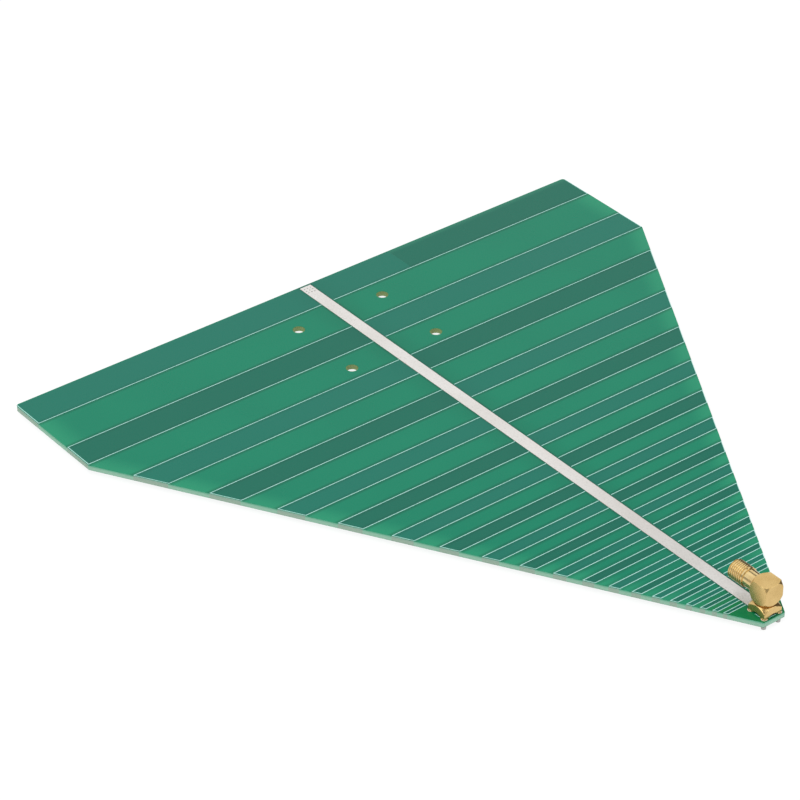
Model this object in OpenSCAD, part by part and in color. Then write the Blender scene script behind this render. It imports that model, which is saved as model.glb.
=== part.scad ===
// Log-periodic dipole antenna etched on a circuit board, fed by a right-angle
// coaxial jack at the narrow tip. The base edge lies at +Y, the tip at -Y, and
// the ends of the jack's legs lie on Z = 0. Millimetres.

/* [Board] */
// Width across the base edge
board_w = 220; // [140:1:320]
// Length from the base edge to the tip
board_l = 220; // [160:1:320]
// Length of the straight sides, from the base edge to the taper
side_l = 40.3; // [20:0.1:80]
// Width of the cut-off tip
tip_w = 8; // [7.6:0.1:16]
// Thickness of the glass-epoxy laminate
board_t = 1.6; // [0.8:0.1:3.2]
// Radius of the two corners at the base
corner_r = 1.2; // [0.4:0.1:5]

/* [Foil and coatings] */
// Thickness of the copper foil on each face
foil_t = 0.035; // [0.018:0.001:0.105]
// Height of the solder mask above the foil
mask_t = 0.03; // [0.01:0.005:0.06]
// Thickness of the solder coat on bare foil
coat_t = 0.02; // [0.01:0.005:0.06]
// Thickness of the printed legend
print_t = 0.015; // [0.01:0.005:0.04]
// Foil kept back from the slanting and straight sides
edge_margin = 0.2; // [0.1:0.05:1.5]
// Ring of bare laminate between the mask and bare foil
mask_gap = 0.1; // [0.05:0.01:0.3]

/* [Dipoles] */
// Number of dipoles between the base and the tip
dipole_count = 20; // [6:1:21]
// Distance from the apex of one dipole, as a share of the dipole before it
tau = 0.8796; // [0.82:0.0002:0.92]
// Inner edge of a dipole, as a share of its outer edge's distance from the apex
inner_share = 0.9446; // [0.925:0.0002:0.96]
// Distance of the apex beyond the tip
apex_over = 9.7; // [6:0.1:20]
// Distance from the base edge at which the progression starts
first_edge = 1.2; // [0.6:0.1:4]
// Foil of the longest dipole kept back from the base edge
base_margin = 0.3; // [0.2:0.05:0.5]
// Narrowing of the longest dipole at its inner edge
back_trim = 1.2; // [0:0.1:3]
// Length of the doubled stub behind the longest dipole's other arm
stub_l = 34.3; // [10:0.1:60]

/* [Feed strip] */
// Width of the strip that carries the dipoles
strip_w = 4.2; // [3.4:0.1:6]
// Strip kept back from the base edge
strip_margin = 0.7; // [0.4:0.1:4]
// Width of the lower strip where it runs in between the jack's legs
neck_w = 1.8; // [1:0.1:2.4]
// Clear ring in the upper strip round the jack's centre pin
clear_d = 3; // [2.4:0.1:3.2]
// Bore of the vias that join both strips at the base
via_d = 0.4; // [0.3:0.05:0.6]
// Spacing of the vias
via_pitch = 1.2; // [0.9:0.1:1.4]
// Number of via rows along the strip
via_rows = 3; // [1:1:5]
// Distance of the first via row from the base edge
via_setback = 2; // [1.4:0.1:6]

/* [Legend] */
// Width of the printed lines
line_w = 0.25; // [0.15:0.05:0.5]
// Sideways slip of the print against the board
print_slip = 0.1; // [-0.3:0.05:0.3]

/* [Mounting holes] */
// Bore of the four mounting holes
hole_d = 3.6; // [3:0.1:4.5]
// Ring of bare laminate round the mounting holes
hole_ring = 0.2; // [0.16:0.02:0.5]
// Spacing of the holes across the board
hole_dx = 33.4; // [20:0.1:60]
// Spacing of the holes along the board
hole_dy = 27.7; // [15:0.1:60]
// Distance of the first pair of holes from the base edge
hole_setback = 19.8; // [16:0.1:40]

/* [Jack body] */
// Distance of the jack's upright axis from the tip edge
jack_setback = 4; // [4:0.1:10]
// Width of the square block and of its foot
jack_w = 6.7; // [6.5:0.05:8]
// Height of the block
block_h = 7; // [6.5:0.05:7.4]
// Height of the barrel's axis above the foot
axis_h = 7.4; // [7.2:0.05:9]
// Thickness of the foot
foot_t = 3.2; // [2.7:0.1:3.3]
// Reach of the turned chamfer down the foot's upper corners
foot_chamfer = 1.4; // [0.5:0.1:1.5]
// Round neck between the foot and the block
neck_d = 5.2; // [5:0.1:5.8]
// Width of the arch in each side of the foot
arch_w = 3.6; // [2.4:0.1:3.8]
// Height of the arch in each side of the foot
arch_h = 0.9; // [0.4:0.1:1.1]
// Reach of the turned chamfer up the block's lower corners
low_chamfer = 1.4; // [0.5:0.1:2]
// Reach of the turned chamfer along the corners at the barrel
mouth_chamfer = 1.4; // [0.5:0.1:2]
// Radial cut of the turned chamfer at the rear face
rear_cut = 1.1; // [0.3:0.1:1.3]
// Reach of the turned chamfer along the rear corners
rear_chamfer = 1.1; // [0.3:0.1:1.4]
// Rim of the square sides beside the faces that are turned flat
face_rim = 0.1; // [0.05:0.01:0.3]
// Radius of the turned round beyond the square's corners
turn_over = 0.5; // [0.3:0.1:1]

/* [Jack legs] */
// Spacing of the legs
leg_pitch = 5.5; // [4.8:0.01:5.55]
// Width of the square legs
leg_w = 0.9; // [0.7:0.05:0.95]
// Length of the legs below the laminate
leg_out = 1.8; // [1.8:0.1:3]
// Bore of the plated leg holes
leg_hole_d = 1.4; // [1.36:0.01:1.5]
// Plating on the walls of holes and vias
plating_t = 0.03; // [0.02:0.005:0.06]
// Diameter of the soldered pads
pad_d = 2; // [1.8:0.05:2.1]
// Height of the solder fillets under the board
solder_h = 1.65; // [0.6:0.05:1.7]
// Solder left round the end of a leg or of the pin
solder_rim = 0.1; // [0.05:0.01:0.2]

/* [Jack barrel] */
// Outside of the thread
thread_d = 6.2; // [6:0.01:6.5]
// Length of the thread
thread_l = 5.1; // [3:0.1:6]
// Length of the plain ring behind the thread
ring_l = 0.7; // [0.3:0.1:1.5]
// Diameter of the collar between the ring and the block
collar_d = 5.5; // [4.9:0.05:5.8]
// Length of the barrel in front of the block
barrel_l = 9.5; // [8:0.1:14]
// Length of the collar pressed into the block
spigot_l = 0.9; // [0.5:0.1:1]
// Chamfer on the first thread
lead_in = 0.4; // [0.2:0.05:0.6]
// Bore that takes the plug
plug_bore_d = 4.65; // [4.6:0.01:4.9]
// Depth of the bore that takes the plug
plug_bore_l = 1.95; // [1.5:0.05:2.5]

/* [Jack insulation and contact] */
// Bore for the barrel's insulator
core_d = 4.1; // [3.8:0.05:4.3]
// Bore for the upright insulator
stem_d = 3.8; // [3.4:0.05:4]
// Diameter of the centre contact and of the upright pin
contact_d = 1.27; // [1.2:0.01:1.4]
// Bore of the contact's socket
socket_d = 0.94; // [0.85:0.01:0.98]
// Depth of the contact's socket
socket_l = 3; // [2.5:0.1:4]
// Width of the slots that make the socket springy
slot_w = 0.2; // [0.1:0.02:0.3]
// Length of the slots
slot_l = 2.2; // [1:0.1:2.4]
// Diameter of the pin's tip, set in the contact's cross hole
pin_tip_d = 0.7; // [0.5:0.05:0.9]
// Hole in the laminate for the pin
pin_hole_d = 1.5; // [1.45:0.01:1.8]
// Length of the pin below the laminate
pin_out = 1.75; // [1.72:0.01:1.78]
// Radial clearance of pressed and pushed fits
fit_gap = 0.02; // [0.01:0.005:0.05]

/* [Hidden] */
$fn = 64;
far = 1;
base_y = board_l / 2;
jack_y = jack_setback - board_l / 2;
// Heights of the layers, from the legs' ends up
under_z = leg_out;
top_z = under_z + board_t;
seat_z = top_z + foil_t + coat_t;
print_z = top_z + foil_t + mask_t;
axis_z = seat_z + axis_h;
// Radius of the jack's faces that are turned flat
flat_r = jack_w / 2 - face_rim;
// Half width at which the arms start, inside the strip also where it narrows
arm_root = neck_w / 4;
// Places along the barrel's axis, measured from the jack's upright axis
mouth = jack_w / 2;
barrel_end = mouth + barrel_l;
core_end = barrel_end - plug_bore_l;
core_start = core_d / 2 + fit_gap;
tail_end = -core_d / 2 + 4 * fit_gap;

// Distance of a dipole's outer and inner edge from the base edge
function reach(k) = (board_l + apex_over - first_edge) * pow(tau, k);
function outer_edge(k) = k == 0 ? base_margin : board_l + apex_over - reach(k);
function inner_edge(k) = board_l + apex_over - reach(k) * inner_share - (k == 0 ? back_trim : 0);

// Half the board's width at a distance from the base edge
function half_w(d) = d < side_l ? board_w / 2
    : board_w / 2 - (board_w - tip_w) / 2 * (d - side_l) / (board_l - side_l);

module outline() {
    difference() {
        polygon([
            [-board_w / 2, base_y], [-board_w / 2, base_y - side_l], [-tip_w / 2, -base_y],
            [tip_w / 2, -base_y], [board_w / 2, base_y - side_l], [board_w / 2, base_y]
        ]);
        for (side = [-1, 1])
            base_corner(side);
    }
}

// What the rounding takes off a base corner
module base_corner(side) {
    x = side * (board_w / 2 - corner_r);
    y = base_y - corner_r;
    difference() {
        translate([x + side * corner_r, y + corner_r])
            square(2 * corner_r, center = true);
        translate([x, y])
            circle(corner_r);
    }
}

// One arm of dipole k, grown by g on its three free edges, starting at half width s
module arm(side, k, s, g, back = 0) {
    a = outer_edge(k) - g - back;
    b = inner_edge(k) + g;
    right = [
        [s, base_y - b], [half_w(b) - edge_margin + g, base_y - b],
        [half_w(a) - edge_margin + g, base_y - a], [s, base_y - a]
    ];
    polygon(side > 0 ? right : [for (i = [3:-1:0]) [-right[i][0], right[i][1]]]);
}

module arms(face) {
    for (k = [0:dipole_count - 1])
        arm(face * (k % 2 == 0 ? -1 : 1), k, arm_root, 0);
    translate([face > 0 ? arm_root : -stub_l, base_y - inner_edge(0)])
        square([stub_l - arm_root, inner_edge(0) - outer_edge(0)]);
}

// Straight strip from the base edge to a given distance from it
module strip(w, end) {
    translate([-w / 2, base_y - end])
        square([w, end - strip_margin]);
}

module at_legs() {
    for (x = [-1, 1], y = [-1, 1])
        translate([x * leg_pitch / 2, jack_y + y * leg_pitch / 2])
            children();
}

module at_vias() {
    for (x = [-1, 0, 1], row = [0:via_rows - 1])
        translate([x * via_pitch, base_y - via_setback - row * via_pitch])
            children();
}

module at_mounting_holes() {
    for (x = [-1, 1], row = [0, 1])
        translate([x * hole_dx / 2, base_y - hole_setback - row * hole_dy])
            children();
}

// Bare foil of each face: the upper strip runs to the jack's front legs, the lower
// one narrows to pass between the leg pads and ends at the pin
module top_strip() {
    difference() {
        strip(strip_w, board_l - jack_setback + leg_pitch / 2);
        translate([0, jack_y])
            circle(d = clear_d);
        at_legs()
            circle(d = pad_d);
        at_vias()
            circle(d = via_d + 2 * plating_t);
    }
}

module bottom_strip() {
    difference() {
        union() {
            strip(strip_w, board_l - jack_setback - leg_pitch / 2 - pad_d);
            strip(neck_w, board_l - jack_setback);
            translate([0, jack_y])
                circle(d = pad_d);
        }
        translate([0, jack_y])
            circle(d = pin_hole_d);
        at_vias()
            circle(d = via_d + 2 * plating_t);
    }
}

module layer(z, t) {
    translate([0, 0, z])
        linear_extrude(t)
            children();
}

module laminate() {
    color([0.63, 0.69, 0.58])
        layer(under_z, board_t)
            difference() {
                outline();
                at_mounting_holes()
                    circle(d = hole_d);
                at_legs()
                    circle(d = leg_hole_d + 2 * plating_t);
                at_vias()
                    circle(d = via_d + 2 * plating_t);
                translate([0, jack_y])
                    circle(d = pin_hole_d);
            }
}

module top_foil() {
    color([0.78, 0.48, 0.30])
        layer(top_z, foil_t)
            union() {
                top_strip();
                arms_clear(1);
            }
}

module bottom_foil() {
    color([0.78, 0.48, 0.30])
        layer(under_z - foil_t, foil_t)
            union() {
                bottom_strip();
                arms_clear(-1);
            }
}

// The arms of one face, clear of the vias and of the leg pads
module arms_clear(face) {
    difference() {
        arms(face);
        at_vias()
            circle(d = via_d + 2 * plating_t);
        at_legs()
            circle(d = pad_d + 2 * mask_gap);
    }
}

module top_solder_coat() {
    color([0.86, 0.86, 0.87])
        layer(top_z + foil_t, coat_t)
            top_strip();
}

module bottom_solder_coat() {
    color([0.86, 0.86, 0.87])
        layer(under_z - foil_t - coat_t, coat_t)
            bottom_strip();
}

// Mask of one face: flat outside, with the arms bedded in it and windows over bare foil
module mask_sheet() {
    difference() {
        outline();
        at_mounting_holes()
            circle(d = hole_d + 2 * hole_ring);
        at_legs()
            circle(d = pad_d + 2 * mask_gap);
        translate([0, jack_y])
            circle(d = pad_d + 2 * mask_gap);
        children();
    }
}

module top_solder_mask() {
    color([0.16, 0.52, 0.42])
        difference() {
            layer(top_z, foil_t + mask_t)
                mask_sheet()
                    strip(strip_w + 2 * mask_gap, board_l - jack_setback + leg_pitch / 2 + mask_gap);
            layer(top_z - far, far + foil_t)
                arms(1);
        }
}

module bottom_solder_mask() {
    color([0.16, 0.52, 0.42])
        difference() {
            layer(under_z - foil_t - mask_t, foil_t + mask_t)
                mask_sheet()
                    union() {
                        strip(strip_w + 2 * mask_gap, board_l - jack_setback - leg_pitch / 2 - pad_d + mask_gap);
                        strip(neck_w + 2 * mask_gap, board_l - jack_setback);
                    }
            layer(under_z - foil_t, far + foil_t)
                arms(-1);
        }
}

// A line round the three free edges of every arm, none along the base edge, and the
// jack's outline between its pads, all clipped by the board's edge
module printed_legend() {
    bare = strip_w / 2 + mask_gap;
    color([0.90, 0.95, 0.92])
        layer(print_z, print_t)
            intersection() {
                outline();
                union() {
                    translate([print_slip, 0])
                        for (side = [-1, 1], k = [0:dipole_count - 1])
                            difference() {
                                arm(side, k, bare + line_w, line_w / 2);
                                arm(side, k, bare, -line_w / 2, k == 0 ? base_margin + line_w : 0);
                            }
                    jack_outline();
                }
            }
}

module jack_outline() {
    w = leg_pitch + pad_d / 2;
    difference() {
        translate([-w / 2, jack_y - w / 2])
            square([w, w - leg_pitch / 2]);
        translate([-w / 2 + line_w, jack_y - w / 2 + line_w])
            square([w - 2 * line_w, w]);
        at_legs()
            circle(d = pad_d + 2 * mask_gap + 2 * line_w);
    }
}

module base_vias() {
    color([0.80, 0.80, 0.80])
        layer(under_z - foil_t - coat_t, board_t + 2 * foil_t + 2 * coat_t)
            at_vias()
                difference() {
                    circle(d = via_d + 2 * plating_t, $fn = 24);
                    circle(d = via_d, $fn = 24);
                }
}

module leg_hole_sleeves() {
    color([0.86, 0.86, 0.84])
        at_legs()
            difference() {
                union() {
                    layer(under_z, board_t)
                        circle(d = leg_hole_d + 2 * plating_t);
                    layer(top_z, foil_t + coat_t)
                        circle(d = pad_d);
                    layer(under_z - foil_t - coat_t, foil_t + coat_t)
                        circle(d = pad_d);
                }
                layer(0, top_z + far)
                    circle(d = leg_hole_d);
            }
}

// Turned form that cuts the corners of a square piece, so that each chamfer leaves an arc
// on the flat sides
module turned(length, near_reach, near_r, far_reach, far_r) {
    corner = jack_w / sqrt(2);
    wide = corner + turn_over;
    rotate_extrude()
        polygon([
            [0, 0], [near_r, 0],
            [wide, near_reach * (wide - near_r) / (corner - near_r)],
            [wide, length - far_reach * (wide - far_r) / (corner - far_r)],
            [far_r, length], [0, length]
        ]);
}

// Square block, turned at both ends of the barrel's axis and at its bottom
module block() {
    rear_r = jack_w / sqrt(2) - rear_cut;
    block_z = axis_h + jack_w / 2 - block_h;
    intersection() {
        translate([-jack_w / 2, -jack_w / 2, block_z])
            cube([jack_w, jack_w, block_h]);
        translate([0, 0, block_z])
            turned(block_h + jack_w, low_chamfer, flat_r, low_chamfer, flat_r);
        translate([0, -jack_w / 2, axis_h])
            rotate([-90, 0, 0])
                turned(jack_w, rear_chamfer, rear_r, mouth_chamfer, flat_r);
    }
}

// Square foot, turned at its top as the block is at its bottom, with an arch in each side
module foot() {
    arch_r = (pow(arch_w / 2, 2) + pow(arch_h, 2)) / (2 * arch_h);
    difference() {
        intersection() {
            translate([-jack_w / 2, -jack_w / 2, 0])
                cube([jack_w, jack_w, foot_t]);
            translate([0, 0, -jack_w])
                turned(foot_t + jack_w, foot_chamfer, flat_r, foot_chamfer, flat_r);
        }
        for (turn = [0, 90])
            rotate([90, 0, turn])
                translate([0, arch_h - arch_r, -jack_w])
                    cylinder(r = arch_r, h = 2 * jack_w);
    }
}

module jack_body() {
    color([0.85, 0.68, 0.36])
        translate([0, jack_y, seat_z])
            difference() {
                union() {
                    block();
                    foot();
                    translate([0, 0, foot_t - fit_gap])
                        cylinder(d = neck_d, h = axis_h - foot_t);
                    for (x = [-1, 1], y = [-1, 1])
                        translate([x * leg_pitch / 2 - leg_w / 2, y * leg_pitch / 2 - leg_w / 2, -seat_z])
                            cube([leg_w, leg_w, seat_z + foot_t / 2]);
                }
                translate([0, 0, -far])
                    cylinder(d = stem_d, h = axis_h + far);
                translate([0, -core_d / 2, axis_h])
                    rotate([-90, 0, 0])
                        cylinder(d = core_d, h = jack_w);
                translate([0, mouth - spigot_l - fit_gap, axis_h])
                    rotate([-90, 0, 0])
                        cylinder(d = collar_d + 2 * fit_gap, h = jack_w);
            }
}

// Places a turned piece on the barrel's axis, its profile's y counted from the jack's
// upright axis towards the base edge
module on_barrel_axis() {
    translate([0, jack_y, axis_z])
        rotate([-90, 0, 0])
            rotate_extrude()
                children();
}

module jack_barrel() {
    color([0.86, 0.70, 0.38])
        on_barrel_axis()
            difference() {
                polygon([
                    [0, mouth - spigot_l], [collar_d / 2, mouth - spigot_l],
                    [collar_d / 2, barrel_end - thread_l - ring_l],
                    [thread_d / 2, barrel_end - thread_l - ring_l],
                    [thread_d / 2, barrel_end - lead_in],
                    [thread_d / 2 - lead_in, barrel_end], [0, barrel_end]
                ]);
                translate([0, mouth - spigot_l - far])
                    square([core_d / 2, barrel_l + spigot_l + 2 * far]);
                translate([0, core_end])
                    square([plug_bore_d / 2, plug_bore_l + far]);
            }
}

module barrel_insulator() {
    color([0.95, 0.95, 0.93])
        on_barrel_axis()
            translate([contact_d / 2 + fit_gap, core_start])
                square([core_d / 2 - contact_d / 2 - 2 * fit_gap, core_end - core_start]);
}

module stem_insulator() {
    stem_h = axis_h - contact_d / 2 - fit_gap;
    color([0.95, 0.95, 0.93])
        translate([0, jack_y, seat_z])
            rotate_extrude()
                translate([contact_d / 2 + fit_gap, 0])
                    square([stem_d / 2 - contact_d / 2 - 2 * fit_gap, stem_h]);
}

// Socket that takes the plug's pin, with a cross hole near its tail for the upright pin
module centre_contact() {
    color([0.88, 0.72, 0.36])
        difference() {
            on_barrel_axis()
                difference() {
                    translate([0, tail_end])
                        square([contact_d / 2, core_end - tail_end]);
                    translate([0, core_end - socket_l])
                        square([socket_d / 2, socket_l + far]);
                }
            for (turn = [0, 90])
                translate([0, jack_y + core_end, axis_z])
                    rotate([0, turn, 0])
                        translate([-slot_w / 2, -slot_l, -contact_d])
                            cube([slot_w, slot_l + far, 2 * contact_d]);
            translate([0, jack_y, axis_z - contact_d])
                cylinder(d = pin_tip_d + 2 * fit_gap, h = 2 * contact_d);
        }
}

module upright_pin() {
    shank_top = axis_z - contact_d / 2 - fit_gap;
    color([0.88, 0.72, 0.36])
        translate([0, jack_y, 0])
            union() {
                translate([0, 0, under_z - pin_out])
                    cylinder(d = contact_d, h = shank_top - under_z + pin_out);
                translate([0, 0, under_z])
                    cylinder(d = pin_tip_d, h = axis_z + contact_d / 2 - under_z);
            }
}

// Hollow fillet of solder below a pad, drawn down to a given radius
module fillet(end_r) {
    flare = pad_d / 2 - end_r;
    hollow_r = (pow(flare, 2) + pow(solder_h, 2)) / (2 * flare);
    rotate_extrude()
        difference() {
            square([pad_d / 2, solder_h]);
            translate([end_r + hollow_r, 0])
                circle(hollow_r, $fn = 4 * $fn);
        }
}

// Solder in the leg holes, drawn out to a fillet round each leg's end
module leg_solder() {
    pad_z = under_z - foil_t - coat_t;
    color([0.74, 0.75, 0.76])
        at_legs()
            difference() {
                union() {
                    layer(pad_z, top_z - pad_z)
                        circle(d = leg_hole_d);
                    translate([0, 0, pad_z - solder_h])
                        fillet(leg_w / sqrt(2) + solder_rim);
                }
                layer(-far, top_z + 2 * far)
                    square(leg_w, center = true);
            }
}

module pin_solder() {
    pad_z = under_z - foil_t - coat_t;
    color([0.74, 0.75, 0.76])
        translate([0, jack_y, pad_z - solder_h])
            difference() {
                fillet(contact_d / 2 + solder_rim);
                translate([0, 0, -far])
                    cylinder(d = contact_d, h = solder_h + 2 * far);
            }
}

laminate();
top_foil();
bottom_foil();
top_solder_coat();
bottom_solder_coat();
top_solder_mask();
bottom_solder_mask();
printed_legend();
base_vias();
leg_hole_sleeves();
jack_body();
jack_barrel();
barrel_insulator();
stem_insulator();
centre_contact();
upright_pin();
leg_solder();
pin_solder();
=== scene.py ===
import math

import bmesh
import bpy
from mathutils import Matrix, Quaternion, Vector


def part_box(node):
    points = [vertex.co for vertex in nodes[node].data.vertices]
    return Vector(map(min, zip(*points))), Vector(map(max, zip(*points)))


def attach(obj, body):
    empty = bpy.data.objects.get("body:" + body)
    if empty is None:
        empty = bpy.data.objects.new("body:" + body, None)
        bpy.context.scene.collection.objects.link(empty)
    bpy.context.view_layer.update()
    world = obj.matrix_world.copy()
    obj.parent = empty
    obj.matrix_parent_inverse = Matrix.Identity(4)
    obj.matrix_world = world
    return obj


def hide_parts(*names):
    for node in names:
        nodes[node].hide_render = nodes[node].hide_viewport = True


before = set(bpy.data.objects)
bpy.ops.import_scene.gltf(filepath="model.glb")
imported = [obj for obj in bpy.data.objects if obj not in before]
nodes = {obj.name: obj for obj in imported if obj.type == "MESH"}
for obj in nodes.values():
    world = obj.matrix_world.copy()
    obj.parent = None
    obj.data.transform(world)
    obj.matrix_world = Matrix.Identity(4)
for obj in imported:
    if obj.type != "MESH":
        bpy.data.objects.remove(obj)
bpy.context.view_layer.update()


# Laminate
# The board itself: woven glass in epoxy, 1.6 mm thick, routed to an arrow outline and
# drilled. Only its routed edges, the hole walls and thin rings round the pads stay bare,
# and they look greener where no foil lies over the edge.

def shader(tree, kind, inputs=None, **options):
    """One shader node; each input is a plain value or another node's output."""
    made = tree.nodes.new("ShaderNode" + kind)
    for option, value in options.items():
        setattr(made, option, value)
    for socket, value in (inputs or {}).items():
        if isinstance(value, bpy.types.NodeSocket):
            tree.links.new(value, made.inputs[socket])
        else:
            made.inputs[socket].default_value = value
    return made


def calc(tree, operation, *values):
    """Output of one Math node."""
    return shader(tree, "Math", dict(enumerate(values)), operation=operation).outputs[0]


def ease(tree, value, low, high, bottom=0.0, top=1.0):
    """Smooth step of a value from low to high."""
    inputs = {"Value": value, "From Min": low, "From Max": high, "To Min": bottom, "To Max": top}
    return shader(tree, "MapRange", inputs, interpolation_type="SMOOTHSTEP").outputs[0]


def between(tree, factor, first, second):
    """Value between two, by a factor."""
    return ease(tree, factor, 0.0, 1.0, first, second)


def tint(tree, factor, first, second):
    """Colour between two, by a factor."""
    mix = shader(tree, "Mix", {0: factor, 6: first, 7: second}, data_type="RGBA")
    return mix.outputs[2]


def object_place(tree):
    """Place on the object, in metres."""
    return shader(tree, "TexCoord").outputs["Object"]


def along_axes(tree, vector):
    """The X, Y and Z of a vector."""
    return shader(tree, "SeparateXYZ", {0: vector}).outputs


def grain(tree, size, detail=3.0, stretch=(1, 1, 1)):
    """Noise with features of about this size in metres, longer along a stretched axis."""
    shrink = {0: object_place(tree), 1: [1 / s for s in stretch]}
    place = shader(tree, "VectorMath", shrink, operation="MULTIPLY").outputs[0]
    return shader(tree, "TexNoise", {"Vector": place, "Scale": 1 / size, "Detail": detail}).outputs["Fac"]


def patches(tree, size, low, high, detail=3.0, stretch=(1, 1, 1)):
    """Soft patches of about this size: 0 where the noise is below low, 1 where it is above high."""
    return ease(tree, grain(tree, size, detail, stretch), low, high)


def finish_of(name, **plain):
    """A material with its Principled shader set to plain values: tree, shader and material."""
    material = bpy.data.materials.new(name)
    material.use_nodes = True
    surface = material.node_tree.nodes["Principled BSDF"]
    for socket, value in plain.items():
        surface.inputs[socket.replace("_", " ")].default_value = value
    return material.node_tree, surface, material


def feed(tree, surface, **outputs):
    """Links node outputs to a shader's inputs."""
    for socket, output in outputs.items():
        tree.links.new(output, surface.inputs[socket.replace("_", " ")])


def relief(tree, surface, height, depth):
    """Bump of a depth in metres under a surface."""
    bump = shader(tree, "Bump", {"Height": height, "Strength": 1.0, "Distance": depth})
    feed(tree, surface, Normal=bump.outputs[0])


def paint(material, *names):
    """Puts a material on CAD nodes."""
    for name in names:
        mesh = nodes[name].data
        mesh.materials.clear()
        mesh.materials.append(material)


# Outline of the board and progression of the dipoles, as in the foil: lengths in metres
board_low, board_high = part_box("laminate")
foil_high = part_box("top_foil")[1]
board_half, base_y = board_high.x, board_high.y
side_l, tip_half = 0.0403, 0.004
side_taper = (board_half - tip_half) / (board_high.y - board_low.y - side_l)
foil_margin, base_margin = board_half - foil_high.x, base_y - foil_high.y
strip_half, stub_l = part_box("top_solder_coat")[1].x, 0.0343
apex_y, first_reach, least_reach = -0.1197, 0.2285, 0.001
dipole_count, dipole_ratio, arm_share, first_arm_share = 20, 0.8796, 0.4443, 0.4011
upper_face, lower_face = 1.0, -1.0
# Bands of painted shade along the foil's steps and beside the strip: where each starts to fade and ends.
# The bands of fine dipoles are weaker.
step_band, strip_band, strip_dusk = (0.0005, 0.0016), (0.0002, 0.0012), (0.0, 0.009)
strip_band_shade, strip_dusk_shade = 0.9, 0.35
fine_pitch, fine_shade = (0.002, 0.010), 0.2


def artwork_group():
    """Where foil lies on the near and the far face, seen from the upper or the lower one.

    Any Arm is every arm of either face run on past the board's edge. Step Shade is painted shade:
    a narrow band along the foil's steps, and bands beside the strip, which shades the board.
    """
    group = bpy.data.node_groups.new("dipole artwork", "ShaderNodeTree")
    group.interface.new_socket("Face", in_out="INPUT", socket_type="NodeSocketFloat")
    for name in ("Near Foil", "Far Foil", "Any Arm", "Side Distance", "Base Distance", "Step Shade"):
        group.interface.new_socket(name, in_out="OUTPUT", socket_type="NodeSocketFloat")
    face = group.nodes.new("NodeGroupInput").outputs["Face"]
    result = group.nodes.new("NodeGroupOutput").inputs

    def do(operation, *values):
        return calc(group, operation, *values)

    def give(name, value):
        group.links.new(value, result[name])

    x, y, _ = along_axes(group, object_place(group))
    # Count of dipoles from the base: whole number and rest
    reach = do("MAXIMUM", do("SUBTRACT", y, apex_y), least_reach)
    shrunk = do("LOGARITHM", do("DIVIDE", reach, first_reach), math.e)
    count = do("MAXIMUM", do("DIVIDE", shrunk, math.log(dipole_ratio)), 0.0)
    number = do("FLOOR", count)
    rest = do("SUBTRACT", count, number)
    first = do("COMPARE", number, 0.0, 0.1)
    among = do("LESS_THAN", number, dipole_count - 0.5)
    share = do("SUBTRACT", arm_share, do("MULTIPLY", first, arm_share - first_arm_share))
    on_arm = do("MULTIPLY", do("LESS_THAN", rest, share), among)
    give("Any Arm", on_arm)
    # Distance from the nearest step of the foil, across the board or beside the strip
    pitch = do("MULTIPLY", reach, -math.log(dipole_ratio))
    to_outer = do("MINIMUM", do("ADD", rest, first), do("SUBTRACT", 1.0, rest))
    to_inner = do("ABSOLUTE", do("SUBTRACT", rest, share))
    to_step = do("MULTIPLY", do("MINIMUM", to_outer, to_inner), pitch)
    shade = do("MULTIPLY", ease(group, to_step, *step_band, 1.0, 0.0), among)
    shade = do("MULTIPLY", shade, ease(group, pitch, *fine_pitch, fine_shade, 1.0))
    to_strip = do("SUBTRACT", do("ABSOLUTE", x), strip_half)
    beside = do("ADD", ease(group, to_strip, *strip_band, strip_band_shade, 0.0),
                ease(group, to_strip, *strip_dusk, strip_dusk_shade, 0.0))
    give("Step Shade", do("MAXIMUM", shade, beside))
    # Distance from the nearest side of the board and from its base edge
    past = do("MAXIMUM", do("SUBTRACT", base_y - side_l, y), 0.0)
    half = do("SUBTRACT", board_half, do("MULTIPLY", past, side_taper))
    to_side = do("SUBTRACT", half, do("ABSOLUTE", x))
    to_base = do("SUBTRACT", base_y, y)
    give("Side Distance", to_side)
    give("Base Distance", to_base)
    on_arm = do("MULTIPLY", on_arm, do("GREATER_THAN", to_side, foil_margin))
    on_arm = do("MULTIPLY", on_arm, do("GREATER_THAN", to_base, base_margin))
    # Even dipoles have their near arm on the left, odd ones on the right
    odd = do("FLOORED_MODULO", number, 2.0)
    for name, turn in (("Near Foil", upper_face), ("Far Foil", lower_face)):
        across = do("MULTIPLY", do("MULTIPLY", x, face), turn)
        right = do("GREATER_THAN", across, 0.0)
        mine = do("COMPARE", odd, right, 0.5)
        stub = do("MULTIPLY", do("MULTIPLY", first, right), do("LESS_THAN", across, stub_l))
        give(name, do("MULTIPLY", on_arm, do("MAXIMUM", mine, stub)))
    return group


artwork = artwork_group()


def place_artwork(tree, face):
    """The artwork group in a material, seen from one face."""
    return shader(tree, "Group", {"Face": face}, node_tree=artwork).outputs


edge_clear_top, edge_clear_floor_lit = (0.16, 0.62, 0.39, 1), (0.44, 0.79, 0.59, 1)
edge_foil_top, edge_foil_floor_lit = (0.37, 0.61, 0.49, 1), (0.48, 0.67, 0.53, 1)
yarn_colour, yarn_share = (0.66, 0.74, 0.68, 1), 0.10
yarn_size, yarn_stretch, yarn_depth = 0.0003, (1, 1, 0.5), 0.00001
drilled_dark, drilled_light = (0.19, 0.26, 0.10, 1), (0.29, 0.36, 0.16, 1)
pad_ring, hole_ring = (0.02, 0.10, 0.06, 1), (0.12, 0.24, 0.08, 1)
holes_middle_y, hole_field = 0.07635, 0.025

tree, surface, laminate = finish_of("laminate edge", Roughness=0.6, Specular_IOR_Level=0.25)
foil = place_artwork(tree, upper_face)
x, y, height = along_axes(tree, object_place(tree))
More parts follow.
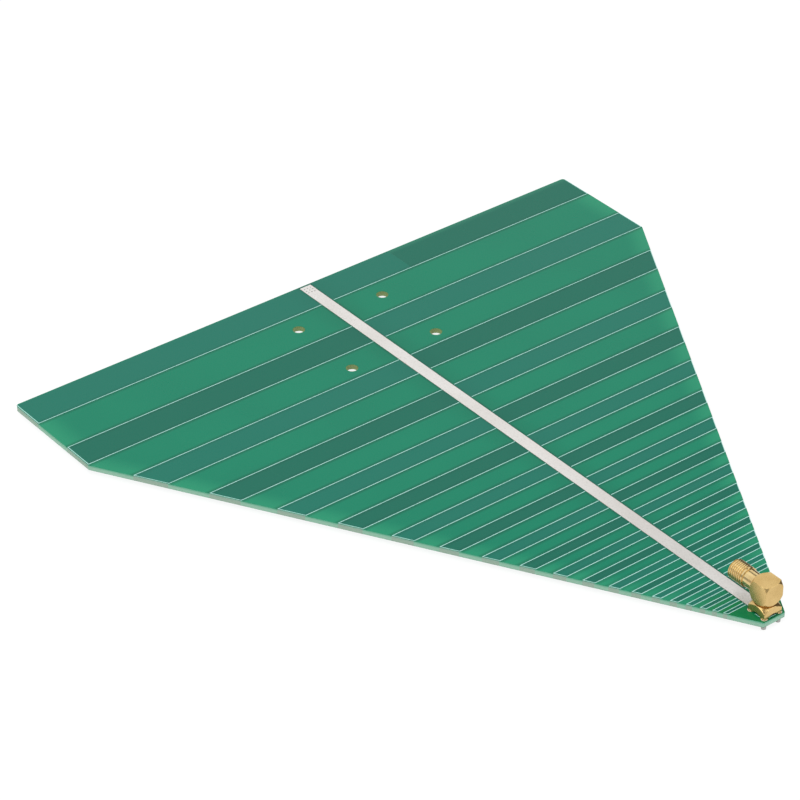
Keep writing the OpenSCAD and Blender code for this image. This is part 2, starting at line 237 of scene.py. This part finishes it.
# Routed edges, greener towards the upper face and paler towards the lower one, where light from the floor
# is painted in
rise = ease(tree, height, (board_low.z + board_high.z) / 2, board_high.z)
edge = tint(tree, foil["Any Arm"], tint(tree, rise, edge_clear_floor_lit, edge_clear_top),
            tint(tree, rise, edge_foil_floor_lit, edge_foil_top))
yarn_ends = patches(tree, yarn_size, low=0.35, high=0.7, detail=2.0, stretch=yarn_stretch)
edge = tint(tree, calc(tree, "MULTIPLY", yarn_ends, yarn_share), edge, yarn_colour)
# Walls of the mounting holes, which lie near the strip and well inside the board
off_middle = calc(tree, "ABSOLUTE", calc(tree, "SUBTRACT", y, holes_middle_y))
by_holes = calc(tree, "MULTIPLY", calc(tree, "LESS_THAN", calc(tree, "ABSOLUTE", x), hole_field),
                calc(tree, "LESS_THAN", off_middle, hole_field))
edge = tint(tree, by_holes, edge, tint(tree, yarn_ends, drilled_dark, drilled_light))
# Bare rings round the pads and the holes, on the two faces
_, _, upright = along_axes(tree, shader(tree, "NewGeometry").outputs["Normal"])
flat = calc(tree, "GREATER_THAN", calc(tree, "ABSOLUTE", upright), 0.5)
ring = tint(tree, by_holes, pad_ring, hole_ring)
feed(tree, surface, Base_Color=tint(tree, flat, edge, ring))
relief(tree, surface, yarn_ends, yarn_depth)
paint(laminate, "laminate")


# Foil
# Copper foil etched to the strip and the arms on both faces. It lies under the mask and
# the solder coat, so it shows only as a thin copper edge at the windows in the mask.

copper_bright, copper_dull = (0.30, 0.17, 0.10, 1), (0.16, 0.09, 0.05, 1)
copper_roughness, tarnish_size = (0.28, 0.5), 0.0015

tree, surface, copper = finish_of("etched copper", Metallic=1.0)
tarnish = patches(tree, tarnish_size, low=0.35, high=0.7)
feed(tree, surface, Base_Color=tint(tree, tarnish, copper_bright, copper_dull),
     Roughness=between(tree, tarnish, *copper_roughness))
paint(copper, "top_foil", "bottom_foil")


# Solder coat
# Bare foil is dipped in solder and blown level with hot air: a whitish satin coat with a
# faint ripple along the strip. It also lines the vias at the base and the leg holes.

coat_light, coat_grey = (0.80, 0.78, 0.75, 1), (0.75, 0.725, 0.69, 1)
coat_speck, coat_dark_reflection = (0.55, 0.53, 0.50, 1), (0.12, 0.11, 0.10, 1)
speck_share, dark_reflection_share, coat_roughness = 0.35, 0.14, (0.36, 0.52)
blotch_size, blotch_stretch, blotch_lift, speck_size = 0.006, (1, 2.5, 1), 1.5, 0.0006
ripple_size, ripple_stretch, ripple_depth = 0.0012, (1, 2.0, 1), 0.00006
dark_reflection_start_y, dark_reflection_y, dark_reflection_end_y = -0.115, -0.070, -0.005

tree, surface, solder_coat = finish_of("levelled solder coat", Metallic=0.75)
_, y, _ = along_axes(tree, object_place(tree))
blotch = patches(tree, blotch_size, low=0.3, high=0.72, detail=4.0, stretch=blotch_stretch)
speck = patches(tree, speck_size, low=0.52, high=0.72)
# A stretch of the strip towards the tip is darkened by a painted reflection of something dark
dark_reflection = calc(tree, "MULTIPLY", ease(tree, y, dark_reflection_start_y, dark_reflection_y),
              ease(tree, y, dark_reflection_y, dark_reflection_end_y, 1.0, 0.0))
colour = tint(tree, blotch, coat_light, coat_grey)
colour = tint(tree, calc(tree, "MULTIPLY", speck, speck_share), colour, coat_speck)
colour = tint(tree, calc(tree, "MULTIPLY", dark_reflection, dark_reflection_share), colour, coat_dark_reflection)
feed(tree, surface, Base_Color=colour, Roughness=between(tree, blotch, *coat_roughness))
ripple = grain(tree, ripple_size, detail=2.0, stretch=ripple_stretch)
relief(tree, surface, calc(tree, "ADD", ripple, calc(tree, "MULTIPLY", blotch, blotch_lift)), ripple_depth)
paint(solder_coat, "top_solder_coat", "bottom_solder_coat", "base_vias", "leg_hole_sleeves")


# Solder mask
# Green lacquer screened over both faces and cured to a gloss. Foil under it turns it teal. The light that
# the clear laminate lets through from below, and that foil on the far face blocks, is painted into its
# colour.

mask_clear, mask_bright = (0.003, 0.212, 0.119, 1), (0.020, 0.295, 0.155, 1)
mask_weave, mask_lit_through_at_tip = (0.02, 0.30, 0.18, 1), (0.008, 0.225, 0.078, 1)
mask_on_foil, mask_on_foil_deep = (0.010, 0.178, 0.122, 1), (0.008, 0.168, 0.114, 1)
mask_over_far_foil, mask_far_glow = (0.007, 0.148, 0.097, 1), (0.024, 0.200, 0.128, 1)
mask_in_shade, clear_shade, foil_shade = (0.0, 0.02, 0.015, 1), 0.33, 0.17
side_glow, side_glow_reach, far_glow_reach = 0.8, 0.009, 0.0025
cloud_size, cloud_share, foil_cloud_share = 0.03, 0.15, 0.25
weave_size, weave_share, lit_tip_field_y = 0.0005, 0.05, (-0.100, -0.088)
mask_roughness, mask_sheen, full_sheen_y = (0.26, 0.34), (0.11, 0.15), 0.02
peel_size, peel_share, foil_step = 0.0015, 0.25, 0.000012


def solder_mask(name, face):
    """Mask of one face, coloured by the foil on both."""
    tree, surface, material = finish_of(name)
    foil = place_artwork(tree, face)
    _, y, _ = along_axes(tree, object_place(tree))
    cloud = patches(tree, cloud_size, low=0.25, high=0.75)
    # Over clear laminate, with a painted glow of light entering at the sides, and brighter in soft clouds
    glow = ease(tree, foil["Side Distance"], 0.0, side_glow_reach, side_glow, 0.0)
    glow = calc(tree, "ADD", glow, calc(tree, "MULTIPLY", cloud, cloud_share))
    bare = tint(tree, glow, mask_clear, mask_bright)
    weave = patches(tree, weave_size, low=0.3, high=0.7, detail=1.0)
    bare = tint(tree, calc(tree, "MULTIPLY", weave, weave_share), bare, mask_weave)
    # Towards the tip, painted light let through the bare laminate turns the mask yellower
    bare = tint(tree, ease(tree, y, *lit_tip_field_y, 1.0, 0.0), bare, mask_lit_through_at_tip)
    # Over foil on the far face, with a painted glow of light near the base edge, and over foil on this one
    far_glow = ease(tree, foil["Base Distance"], 0.0, far_glow_reach, 1.0, 0.0)
    far = tint(tree, far_glow, mask_over_far_foil, mask_far_glow)
    near = tint(tree, calc(tree, "MULTIPLY", cloud, foil_cloud_share), mask_on_foil, mask_on_foil_deep)
    colour = tint(tree, foil["Near Foil"], tint(tree, foil["Far Foil"], bare, far), near)
    # Painted shade along the foil's steps and beside the strip
    on_foil = calc(tree, "MAXIMUM", foil["Near Foil"], foil["Far Foil"])
    depth = calc(tree, "SUBTRACT", clear_shade, calc(tree, "MULTIPLY", on_foil, clear_shade - foil_shade))
    colour = tint(tree, calc(tree, "MULTIPLY", foil["Step Shade"], depth), colour, mask_in_shade)
    feed(tree, surface, Base_Color=colour, Roughness=between(tree, cloud, *mask_roughness),
         Specular_IOR_Level=ease(tree, y, board_low.y, full_sheen_y, *mask_sheen))
    orange_peel = calc(tree, "MULTIPLY", grain(tree, peel_size, detail=2.0), peel_share)
    relief(tree, surface, calc(tree, "ADD", foil["Near Foil"], orange_peel), foil_step)
    return material


paint(solder_mask("solder mask over top", upper_face), "top_solder_mask")
paint(solder_mask("solder mask under", lower_face), "bottom_solder_mask")


# Printed legend
# White ink screened on the mask as an outline round every arm. The lines are a quarter of a
# millimetre wide, so the ink is thin and green shows through where the screen left less.

ink_full, ink_thin = (0.47, 0.78, 0.72, 1), (0.22, 0.54, 0.45, 1)
ink_patch, thin_share, ink_depth = 0.0008, 0.5, 0.000008

tree, surface, ink = finish_of("printed ink", Roughness=0.6, Specular_IOR_Level=0.2)
thin = patches(tree, ink_patch, low=0.42, high=0.75)
feed(tree, surface, Base_Color=tint(tree, calc(tree, "MULTIPLY", thin, thin_share), ink_full, ink_thin))
relief(tree, surface, thin, ink_depth)
paint(ink, "printed_legend")


# Jack body
# Block, neck, arched foot and four legs, machined from one brass bar, tumbled so that the
# edges are just broken, and plated with gold over nickel. It stands soldered on the pads.

gilt_metallic, mottle_wear, mark_wear = 0.85, 0.06, 0.08
broken_edge, weld = 0.00014, 0.000001
flat_angle, corner_angle, crease_angle = math.radians(0.5), math.radians(24), math.radians(20)


def gilding_group():
    """Gold plating: colour, roughness and fine relief, from mottling and tool marks."""
    group = bpy.data.node_groups.new("gold plating", "ShaderNodeTree")
    for name in ("Bright", "Deep"):
        group.interface.new_socket(name, in_out="INPUT", socket_type="NodeSocketColor")
    for name in ("Mottle", "Marks", "Dullness"):
        group.interface.new_socket(name, in_out="INPUT", socket_type="NodeSocketFloat")
    group.interface.new_socket("Colour", in_out="OUTPUT", socket_type="NodeSocketColor")
    for name in ("Roughness", "Height"):
        group.interface.new_socket(name, in_out="OUTPUT", socket_type="NodeSocketFloat")
    given = group.nodes.new("NodeGroupInput").outputs
    result = group.nodes.new("NodeGroupOutput").inputs
    place = object_place(group)
    mottle = shader(group, "TexNoise", {"Vector": place, "Scale": given["Mottle"], "Detail": 3.0})
    mottle = ease(group, mottle.outputs["Fac"], 0.3, 0.72)
    marks = shader(group, "TexNoise", {"Vector": place, "Scale": given["Marks"], "Detail": 2.0})
    marks = marks.outputs["Fac"]
    wear = calc(group, "ADD", calc(group, "MULTIPLY", mottle, mottle_wear),
                calc(group, "MULTIPLY", marks, mark_wear))
    group.links.new(tint(group, mottle, given["Bright"], given["Deep"]), result["Colour"])
    group.links.new(calc(group, "ADD", wear, given["Dullness"]), result["Roughness"])
    group.links.new(marks, result["Height"])
    return group


gilding = gilding_group()


def gold(name, bright, deep, mottle_size, mark_size, mark_depth, dullness):
    """Gold plating with mottling and tool marks of the given sizes in metres."""
    tree, surface, material = finish_of(name, Metallic=gilt_metallic)
    given = {"Bright": bright, "Deep": deep, "Mottle": 1 / mottle_size, "Marks": 1 / mark_size,
             "Dullness": dullness}
    plate = shader(tree, "Group", given, node_tree=gilding).outputs
    feed(tree, surface, Base_Color=plate["Colour"], Roughness=plate["Roughness"])
    relief(tree, surface, plate["Height"], mark_depth)
    return material


def piece_from(mesh, name, slot, material, *replaced):
    """A finished piece that rides with the antenna in place of CAD nodes."""
    piece = bpy.data.objects.new(name, mesh)
    bpy.context.scene.collection.objects.link(piece)
    mesh.materials.clear()
    mesh.materials.append(material)
    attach(piece, "root")
    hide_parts(*replaced)


def break_edges(node_name, width):
    """Mesh of a CAD solid with welded corners and every sharp edge broken."""
    mesh = nodes[node_name].data.copy()
    bm = bmesh.new()
    bm.from_mesh(mesh)
    bmesh.ops.remove_doubles(bm, verts=bm.verts, dist=weld)
    bmesh.ops.dissolve_limit(bm, angle_limit=flat_angle, verts=bm.verts, edges=bm.edges)
    sharp = [e for e in bm.edges if e.is_manifold and e.calc_face_angle() > corner_angle]
    bmesh.ops.bevel(bm, geom=sharp, offset=width, offset_type="OFFSET", segments=1, profile=0.5,
                    affect="EDGES", clamp_overlap=True)
    bmesh.ops.recalc_face_normals(bm, faces=bm.faces)
    for f in bm.faces:
        f.smooth = True
    bm.to_mesh(mesh)
    bm.free()
    mesh.set_sharp_from_angle(angle=crease_angle)
    return mesh


body_gold = gold("gilt body", bright=(0.73, 0.51, 0.205, 1), deep=(0.65, 0.44, 0.165, 1),
                 mottle_size=0.004, mark_size=0.0003, mark_depth=0.0000006, dullness=0.17)
piece_from(break_edges("jack_body", broken_edge), "jack_block_and_foot", "gilt_brass", body_gold,
           "jack_body")


# Jack barrel
# Barrel turned from brass bar and gilt, with a 36 turns per inch thread, a plain ring and
# a slimmer collar that is pressed into the block. The plug seats in its open end.

barrel_low, barrel_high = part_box("jack_barrel")
axis_z = (barrel_low.z + barrel_high.z) / 2
collar_start, barrel_end = barrel_low.y, barrel_high.y
core_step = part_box("barrel_insulator")[1].y
thread_l, ring_l, lead_in, rim = 0.0051, 0.0007, 0.0004, 0.00006
thread_pitch, thread_depth, root_share, flank_share = 0.0254 / 36, 0.00033, 0.1, 0.45
thread_start = barrel_end - thread_l
ring_start = thread_start - ring_l
thread_r = (barrel_high.x - barrel_low.x) / 2
root_r = thread_r - thread_depth
collar_r, plug_r, core_r = 0.00275, 0.002325, 0.00205
columns, steps, fine_weld, turned_angle = 72, 12, 0.00000001, math.radians(38)


def on_barrel(turn, along, radius):
    """Point at a turn round the barrel's axis and a place along it."""
    a = 2 * math.pi * turn
    return Vector((radius * math.sin(a), along, axis_z + radius * math.cos(a)))


def thread_radius(turn, along):
    """Radius of the right-hand thread, cut back at its lead-in."""
    from_root = abs(((along - thread_start) / thread_pitch - turn) % 1 - 0.5) * 2
    flank = min(max((from_root - root_share) / flank_share, 0.0), 1.0)
    chamfer = thread_r - max(along - (barrel_end - lead_in), 0.0)
    return min(root_r + (thread_r - root_r) * flank, chamfer)


def barrel_mesh():
    """Barrel as one closed surface: collar, ring and rim as rings, the thread along its helix."""
    bm = bmesh.new()

    def ring(along, radius):
        return [bm.verts.new(on_barrel(i / columns, along, radius)) for i in range(columns)]

    def join(first, second):
        for i in range(columns):
            j = (i + 1) % columns
            bm.faces.new((first[i], first[j], second[j], second[i]))

    # Thread: each row follows the helix and is held at the thread's two ends
    last = (math.ceil((barrel_end - thread_start) / thread_pitch) + 1) * steps
    rows = {}
    for row in range(-steps, last + 1):
        rows[row] = []
        for i in range(columns):
            turn = i / columns
            along = thread_start + (row / steps + turn) * thread_pitch
            along = min(max(along, thread_start), barrel_end)
            rows[row].append(bm.verts.new(on_barrel(turn, along, thread_radius(turn, along))))
    for row in range(-steps, last):
        for i in range(columns - 1):
            bm.faces.new((rows[row][i], rows[row][i + 1], rows[row + 1][i + 1], rows[row + 1][i]))
        near, far = min(row + steps, last), min(row + 1 + steps, last)
        if near != far:
            bm.faces.new((rows[row][-1], rows[near][0], rows[far][0], rows[row + 1][-1]))
    # Collar and ring behind the thread
    behind = [
        ring(collar_start, core_r), ring(collar_start, collar_r), ring(ring_start, collar_r),
        ring(ring_start, thread_r - rim), ring(ring_start + rim, thread_r),
        ring(thread_start - rim, thread_r), ring(thread_start, thread_r - rim), rows[-steps],
    ]
    # Rim, plug bore, its step and the core bore
    front = [
        rows[last], ring(barrel_end, plug_r + rim), ring(barrel_end - rim, plug_r),
        ring(core_step, plug_r), ring(core_step, core_r), behind[0],
    ]
    for rings in (behind, front):
        for first, second in zip(rings, rings[1:]):
            join(first, second)
    bmesh.ops.remove_doubles(bm, verts=bm.verts, dist=fine_weld)
    bmesh.ops.dissolve_degenerate(bm, edges=bm.edges, dist=fine_weld)
    bmesh.ops.recalc_face_normals(bm, faces=bm.faces)
    for f in bm.faces:
        f.smooth = True
    mesh = bpy.data.meshes.new("threaded_barrel")
    bm.to_mesh(mesh)
    bm.free()
    mesh.set_sharp_from_angle(angle=turned_angle)
    return mesh


barrel_gold = gold("gilt barrel", bright=(0.76, 0.58, 0.28, 1), deep=(0.67, 0.48, 0.21, 1),
                   mottle_size=0.003, mark_size=0.0002, mark_depth=0.0000006, dullness=0.06)
piece_from(barrel_mesh(), "threaded_barrel", "gilt_brass", barrel_gold, "jack_barrel")


# Insulators
# Two turned sleeves of white fluoropolymer hold the contact in the barrel and the pin in
# the neck. Only the sleeve's face shows, at the bottom of the plug bore.

sleeve_white, sleeve_grey = (0.86, 0.86, 0.83, 1), (0.78, 0.78, 0.74, 1)
sleeve_roughness, sleeve_cloud = (0.4, 0.55), 0.0015
tool_pitch, tool_depth = 0.00012, 0.000004

tree, surface, fluoropolymer = finish_of("turned fluoropolymer", Specular_IOR_Level=0.35)
x, _, z = along_axes(tree, object_place(tree))
off_axis = calc(tree, "SUBTRACT", z, axis_z)
from_axis = calc(tree, "SQRT", calc(tree, "ADD", calc(tree, "MULTIPLY", x, x),
                                    calc(tree, "MULTIPLY", off_axis, off_axis)))
tool_rings = calc(tree, "SINE", calc(tree, "MULTIPLY", from_axis, 2 * math.pi / tool_pitch))
cloud = patches(tree, sleeve_cloud, low=0.3, high=0.7)
feed(tree, surface, Base_Color=tint(tree, cloud, sleeve_white, sleeve_grey),
     Roughness=between(tree, cloud, *sleeve_roughness))
relief(tree, surface, tool_rings, tool_depth)
paint(fluoropolymer, "barrel_insulator", "stem_insulator")


# Contact and pin
# Slotted socket of gilt spring bronze in the barrel, and the pin that stands in its cross
# hole and runs down through the board to the lower strip.

contact_gold = gold("gilt contact", bright=(0.82, 0.60, 0.25, 1), deep=(0.74, 0.50, 0.18, 1),
                    mottle_size=0.001, mark_size=0.00015, mark_depth=0.000001, dullness=0.17)
paint(contact_gold, "centre_contact", "upright_pin")


# Solder joints
# Tin solder drawn up round the four legs and the pin, under the board: cones with a bright,
# slightly mottled skin, and a level fill in the leg holes above.

solder_bright, solder_grey = (0.42, 0.42, 0.40, 1), (0.30, 0.30, 0.28, 1)
solder_roughness, skin_size, skin_depth = (0.22, 0.42), 0.0006, 0.00002

tree, surface, solder = finish_of("reflowed solder", Metallic=0.9)
skin = patches(tree, skin_size, low=0.3, high=0.72)
feed(tree, surface, Base_Color=tint(tree, skin, solder_bright, solder_grey),
     Roughness=between(tree, skin, *solder_roughness))
relief(tree, surface, skin, skin_depth)
paint(solder, "leg_solder", "pin_solder")


# Floor, light and camera
# White studio sweep seen as plain white, with a large soft lamp over the left shoulder
# and a weaker one at the right. The camera stands where the photograph was taken.

white = (1, 1, 1, 1)
floor_reach, floor_grey, floor_glow, table_glow = 6.0, (0.16, 0.16, 0.16, 1), 0.88, 0.8
room_light, card_black = 0.55, (0.01, 0.01, 0.01, 1)

scene = bpy.context.scene
scene.view_settings.view_transform = "Standard"


def sees_studio(tree, rays):
    """1 for rays that see the white studio: from the lens, mirrored or through clear bodies."""
    mirrored = calc(tree, "MAXIMUM", rays["Is Glossy Ray"], rays["Is Transmission Ray"])
    return calc(tree, "MAXIMUM", rays["Is Camera Ray"], mirrored)


def flat_mesh(name, corners):
    """One flat face."""
    mesh = bpy.data.meshes.new(name)
    mesh.from_pydata(corners, [], [tuple(range(len(corners)))])
    return mesh


# Sampled as a lamp, the sheet would draw its diagonal on the lower face, so it is not
floor_sheet = bpy.data.materials.new("studio white")
floor_sheet.use_nodes = True
floor_sheet.cycles.emission_sampling = "NONE"
tree = floor_sheet.node_tree
tree.nodes.clear()
rays = shader(tree, "LightPath").outputs
glow = calc(tree, "MULTIPLY", sees_studio(tree, rays), floor_glow)
# Beneath the board the sheet is lit from behind, like a light table, for the lower face
outline = place_artwork(tree, upper_face)
inside = calc(tree, "MINIMUM", outline["Side Distance"], outline["Base Distance"])
beneath = calc(tree, "MULTIPLY", calc(tree, "GREATER_THAN", inside, 0.0), rays["Is Diffuse Ray"])
glow = calc(tree, "ADD", glow, calc(tree, "MULTIPLY", beneath, table_glow))
paper = shader(tree, "BsdfDiffuse", {"Color": floor_grey})
lit = shader(tree, "Emission", {"Color": white, "Strength": glow})
above = shader(tree, "AddShader", {0: paper.outputs[0], 1: lit.outputs[0]})
# From below the sheet is clear, so that the lower face can be seen
below = shader(tree, "BsdfTransparent")
back = shader(tree, "NewGeometry").outputs["Backfacing"]
sheet = shader(tree, "MixShader", {0: back, 1: above.outputs[0], 2: below.outputs[0]})
shader(tree, "OutputMaterial", {"Surface": sheet.outputs[0]})

around = ((-1, -1), (1, -1), (1, 1), (-1, 1))
floor_mesh = flat_mesh("studio_floor", [(i * floor_reach, j * floor_reach, 0) for i, j in around])
floor_mesh.materials.append(floor_sheet)
floor = bpy.data.objects.new("studio_floor", floor_mesh)
scene.collection.objects.link(floor)

world = bpy.data.worlds.new("studio")
world.use_nodes = True
scene.world = world
tree = world.node_tree
background = tree.nodes["Background"]
background.inputs["Color"].default_value = white
seen = sees_studio(tree, shader(tree, "LightPath").outputs)
strength = calc(tree, "ADD", calc(tree, "MULTIPLY", seen, 1 - room_light), room_light)
feed(tree, background, Strength=strength)


def soft_lamp(name, place, size, power):
    """Large square lamp turned to the antenna; cards stand in for it in reflections."""
    lamp = bpy.data.lights.new(name, "AREA")
    lamp.shape = "SQUARE"
    lamp.size = size
    lamp.energy = power
    made = bpy.data.objects.new(name, lamp)
    made.location = place
    made.rotation_mode = "QUATERNION"
    made.rotation_quaternion = (-Vector(place)).to_track_quat("-Z", "Y")
    made.visible_glossy = False
    scene.collection.objects.link(made)


def card(name, corners, glow):
    """Card that only mirror reflections meet: black, or as bright as its glow."""
    mesh = flat_mesh(name, corners)
    _, _, finish = finish_of(name, Base_Color=card_black, Roughness=1.0, Specular_IOR_Level=0.0,
                             Emission_Strength=glow)
    mesh.materials.append(finish)
    made = bpy.data.objects.new(name, mesh)
    scene.collection.objects.link(made)
    made.visible_camera = False
    made.visible_diffuse = False
    made.visible_shadow = False
    made.visible_transmission = False


def standing_card(name, start, end, low, high, glow):
    """Upright card over a line on the floor, from one height to another."""
    card(name, [(*start, low), (*end, low), (*end, high), (*start, high)], glow)


def facing_card(name, towards, away, half, glow):
    """Square card that faces the jack from a direction."""
    across = towards.cross(Vector((0, 0, 1))).normalized()
    upward = across.cross(towards)
    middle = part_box("jack_body")[0] + towards * away
    card(name, [middle + across * i * half + upward * j * half for i, j in around], glow)


soft_lamp("key_lamp", place=(-0.9, -0.2, 1.3), size=1.5, power=15)
soft_lamp("fill_lamp", place=(1.1, -0.6, 0.9), size=0.7, power=5)

# The foot's right side mirrors a black card, and the collar three that stand behind the base
standing_card("side_card", start=(0.03, -0.13), end=(0.13, 0.04), low=0.0, high=0.05, glow=0.0)
standing_card("low_back_card", start=(-0.80, 0.4), end=(-0.64, 0.4), low=0.0, high=0.36, glow=0.35)
standing_card("bright_back_card", start=(-0.24, 0.4), end=(0.17, 0.4), low=0.64, high=0.80, glow=1.2)
standing_card("high_back_card", start=(0.19, 0.4), end=(0.42, 0.4), low=0.58, high=0.80, glow=0.25)
# The block's corner that faces the lens mirrors a dim card, and its front edge a bright one
facing_card("lens_card", towards=Vector((-0.41, -0.83, 0.37)), away=0.9, half=0.32, glow=0.35)
facing_card("edge_card", towards=Vector((0.56, -0.61, 0.56)), away=0.7, half=0.2, glow=1.7)
# The gold mirrors a bright card in front of the key lamp, and the foot's cone a small black one
facing_card("key_card", towards=Vector((-0.57, -0.06, 0.82)), away=1.2, half=0.65, glow=2.0)
facing_card("cone_card", towards=Vector((-0.47, -0.33, 0.82)), away=0.7, half=0.15, glow=0.0)

# Camera as fitted to the photograph, which is 800 pixels wide
aim = Vector((-0.01592, 0.03908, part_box("top_solder_mask")[1].z))
distance, focal_mm, sensor_mm, half_pixel = 1.01008, 148.34, 36.0, 0.5 / 800
azimuth, elevation, roll = math.radians(38.048), math.radians(34.399), math.radians(-0.092)
sight = Vector((math.sin(azimuth) * math.cos(elevation), math.cos(azimuth) * math.cos(elevation),
                -math.sin(elevation)))
lens = bpy.data.cameras.new("camera")
lens.lens = focal_mm
lens.sensor_width = sensor_mm
lens.shift_x = -half_pixel
lens.shift_y = half_pixel
lens.clip_start = 0.01
lens.clip_end = 100
camera = bpy.data.objects.new("camera", lens)
camera.location = aim - sight * distance
camera.rotation_mode = "QUATERNION"
camera.rotation_quaternion = sight.to_track_quat("-Z", "Y") @ Quaternion((0, 0, 1), roll)
scene.collection.objects.link(camera)
scene.camera = camera
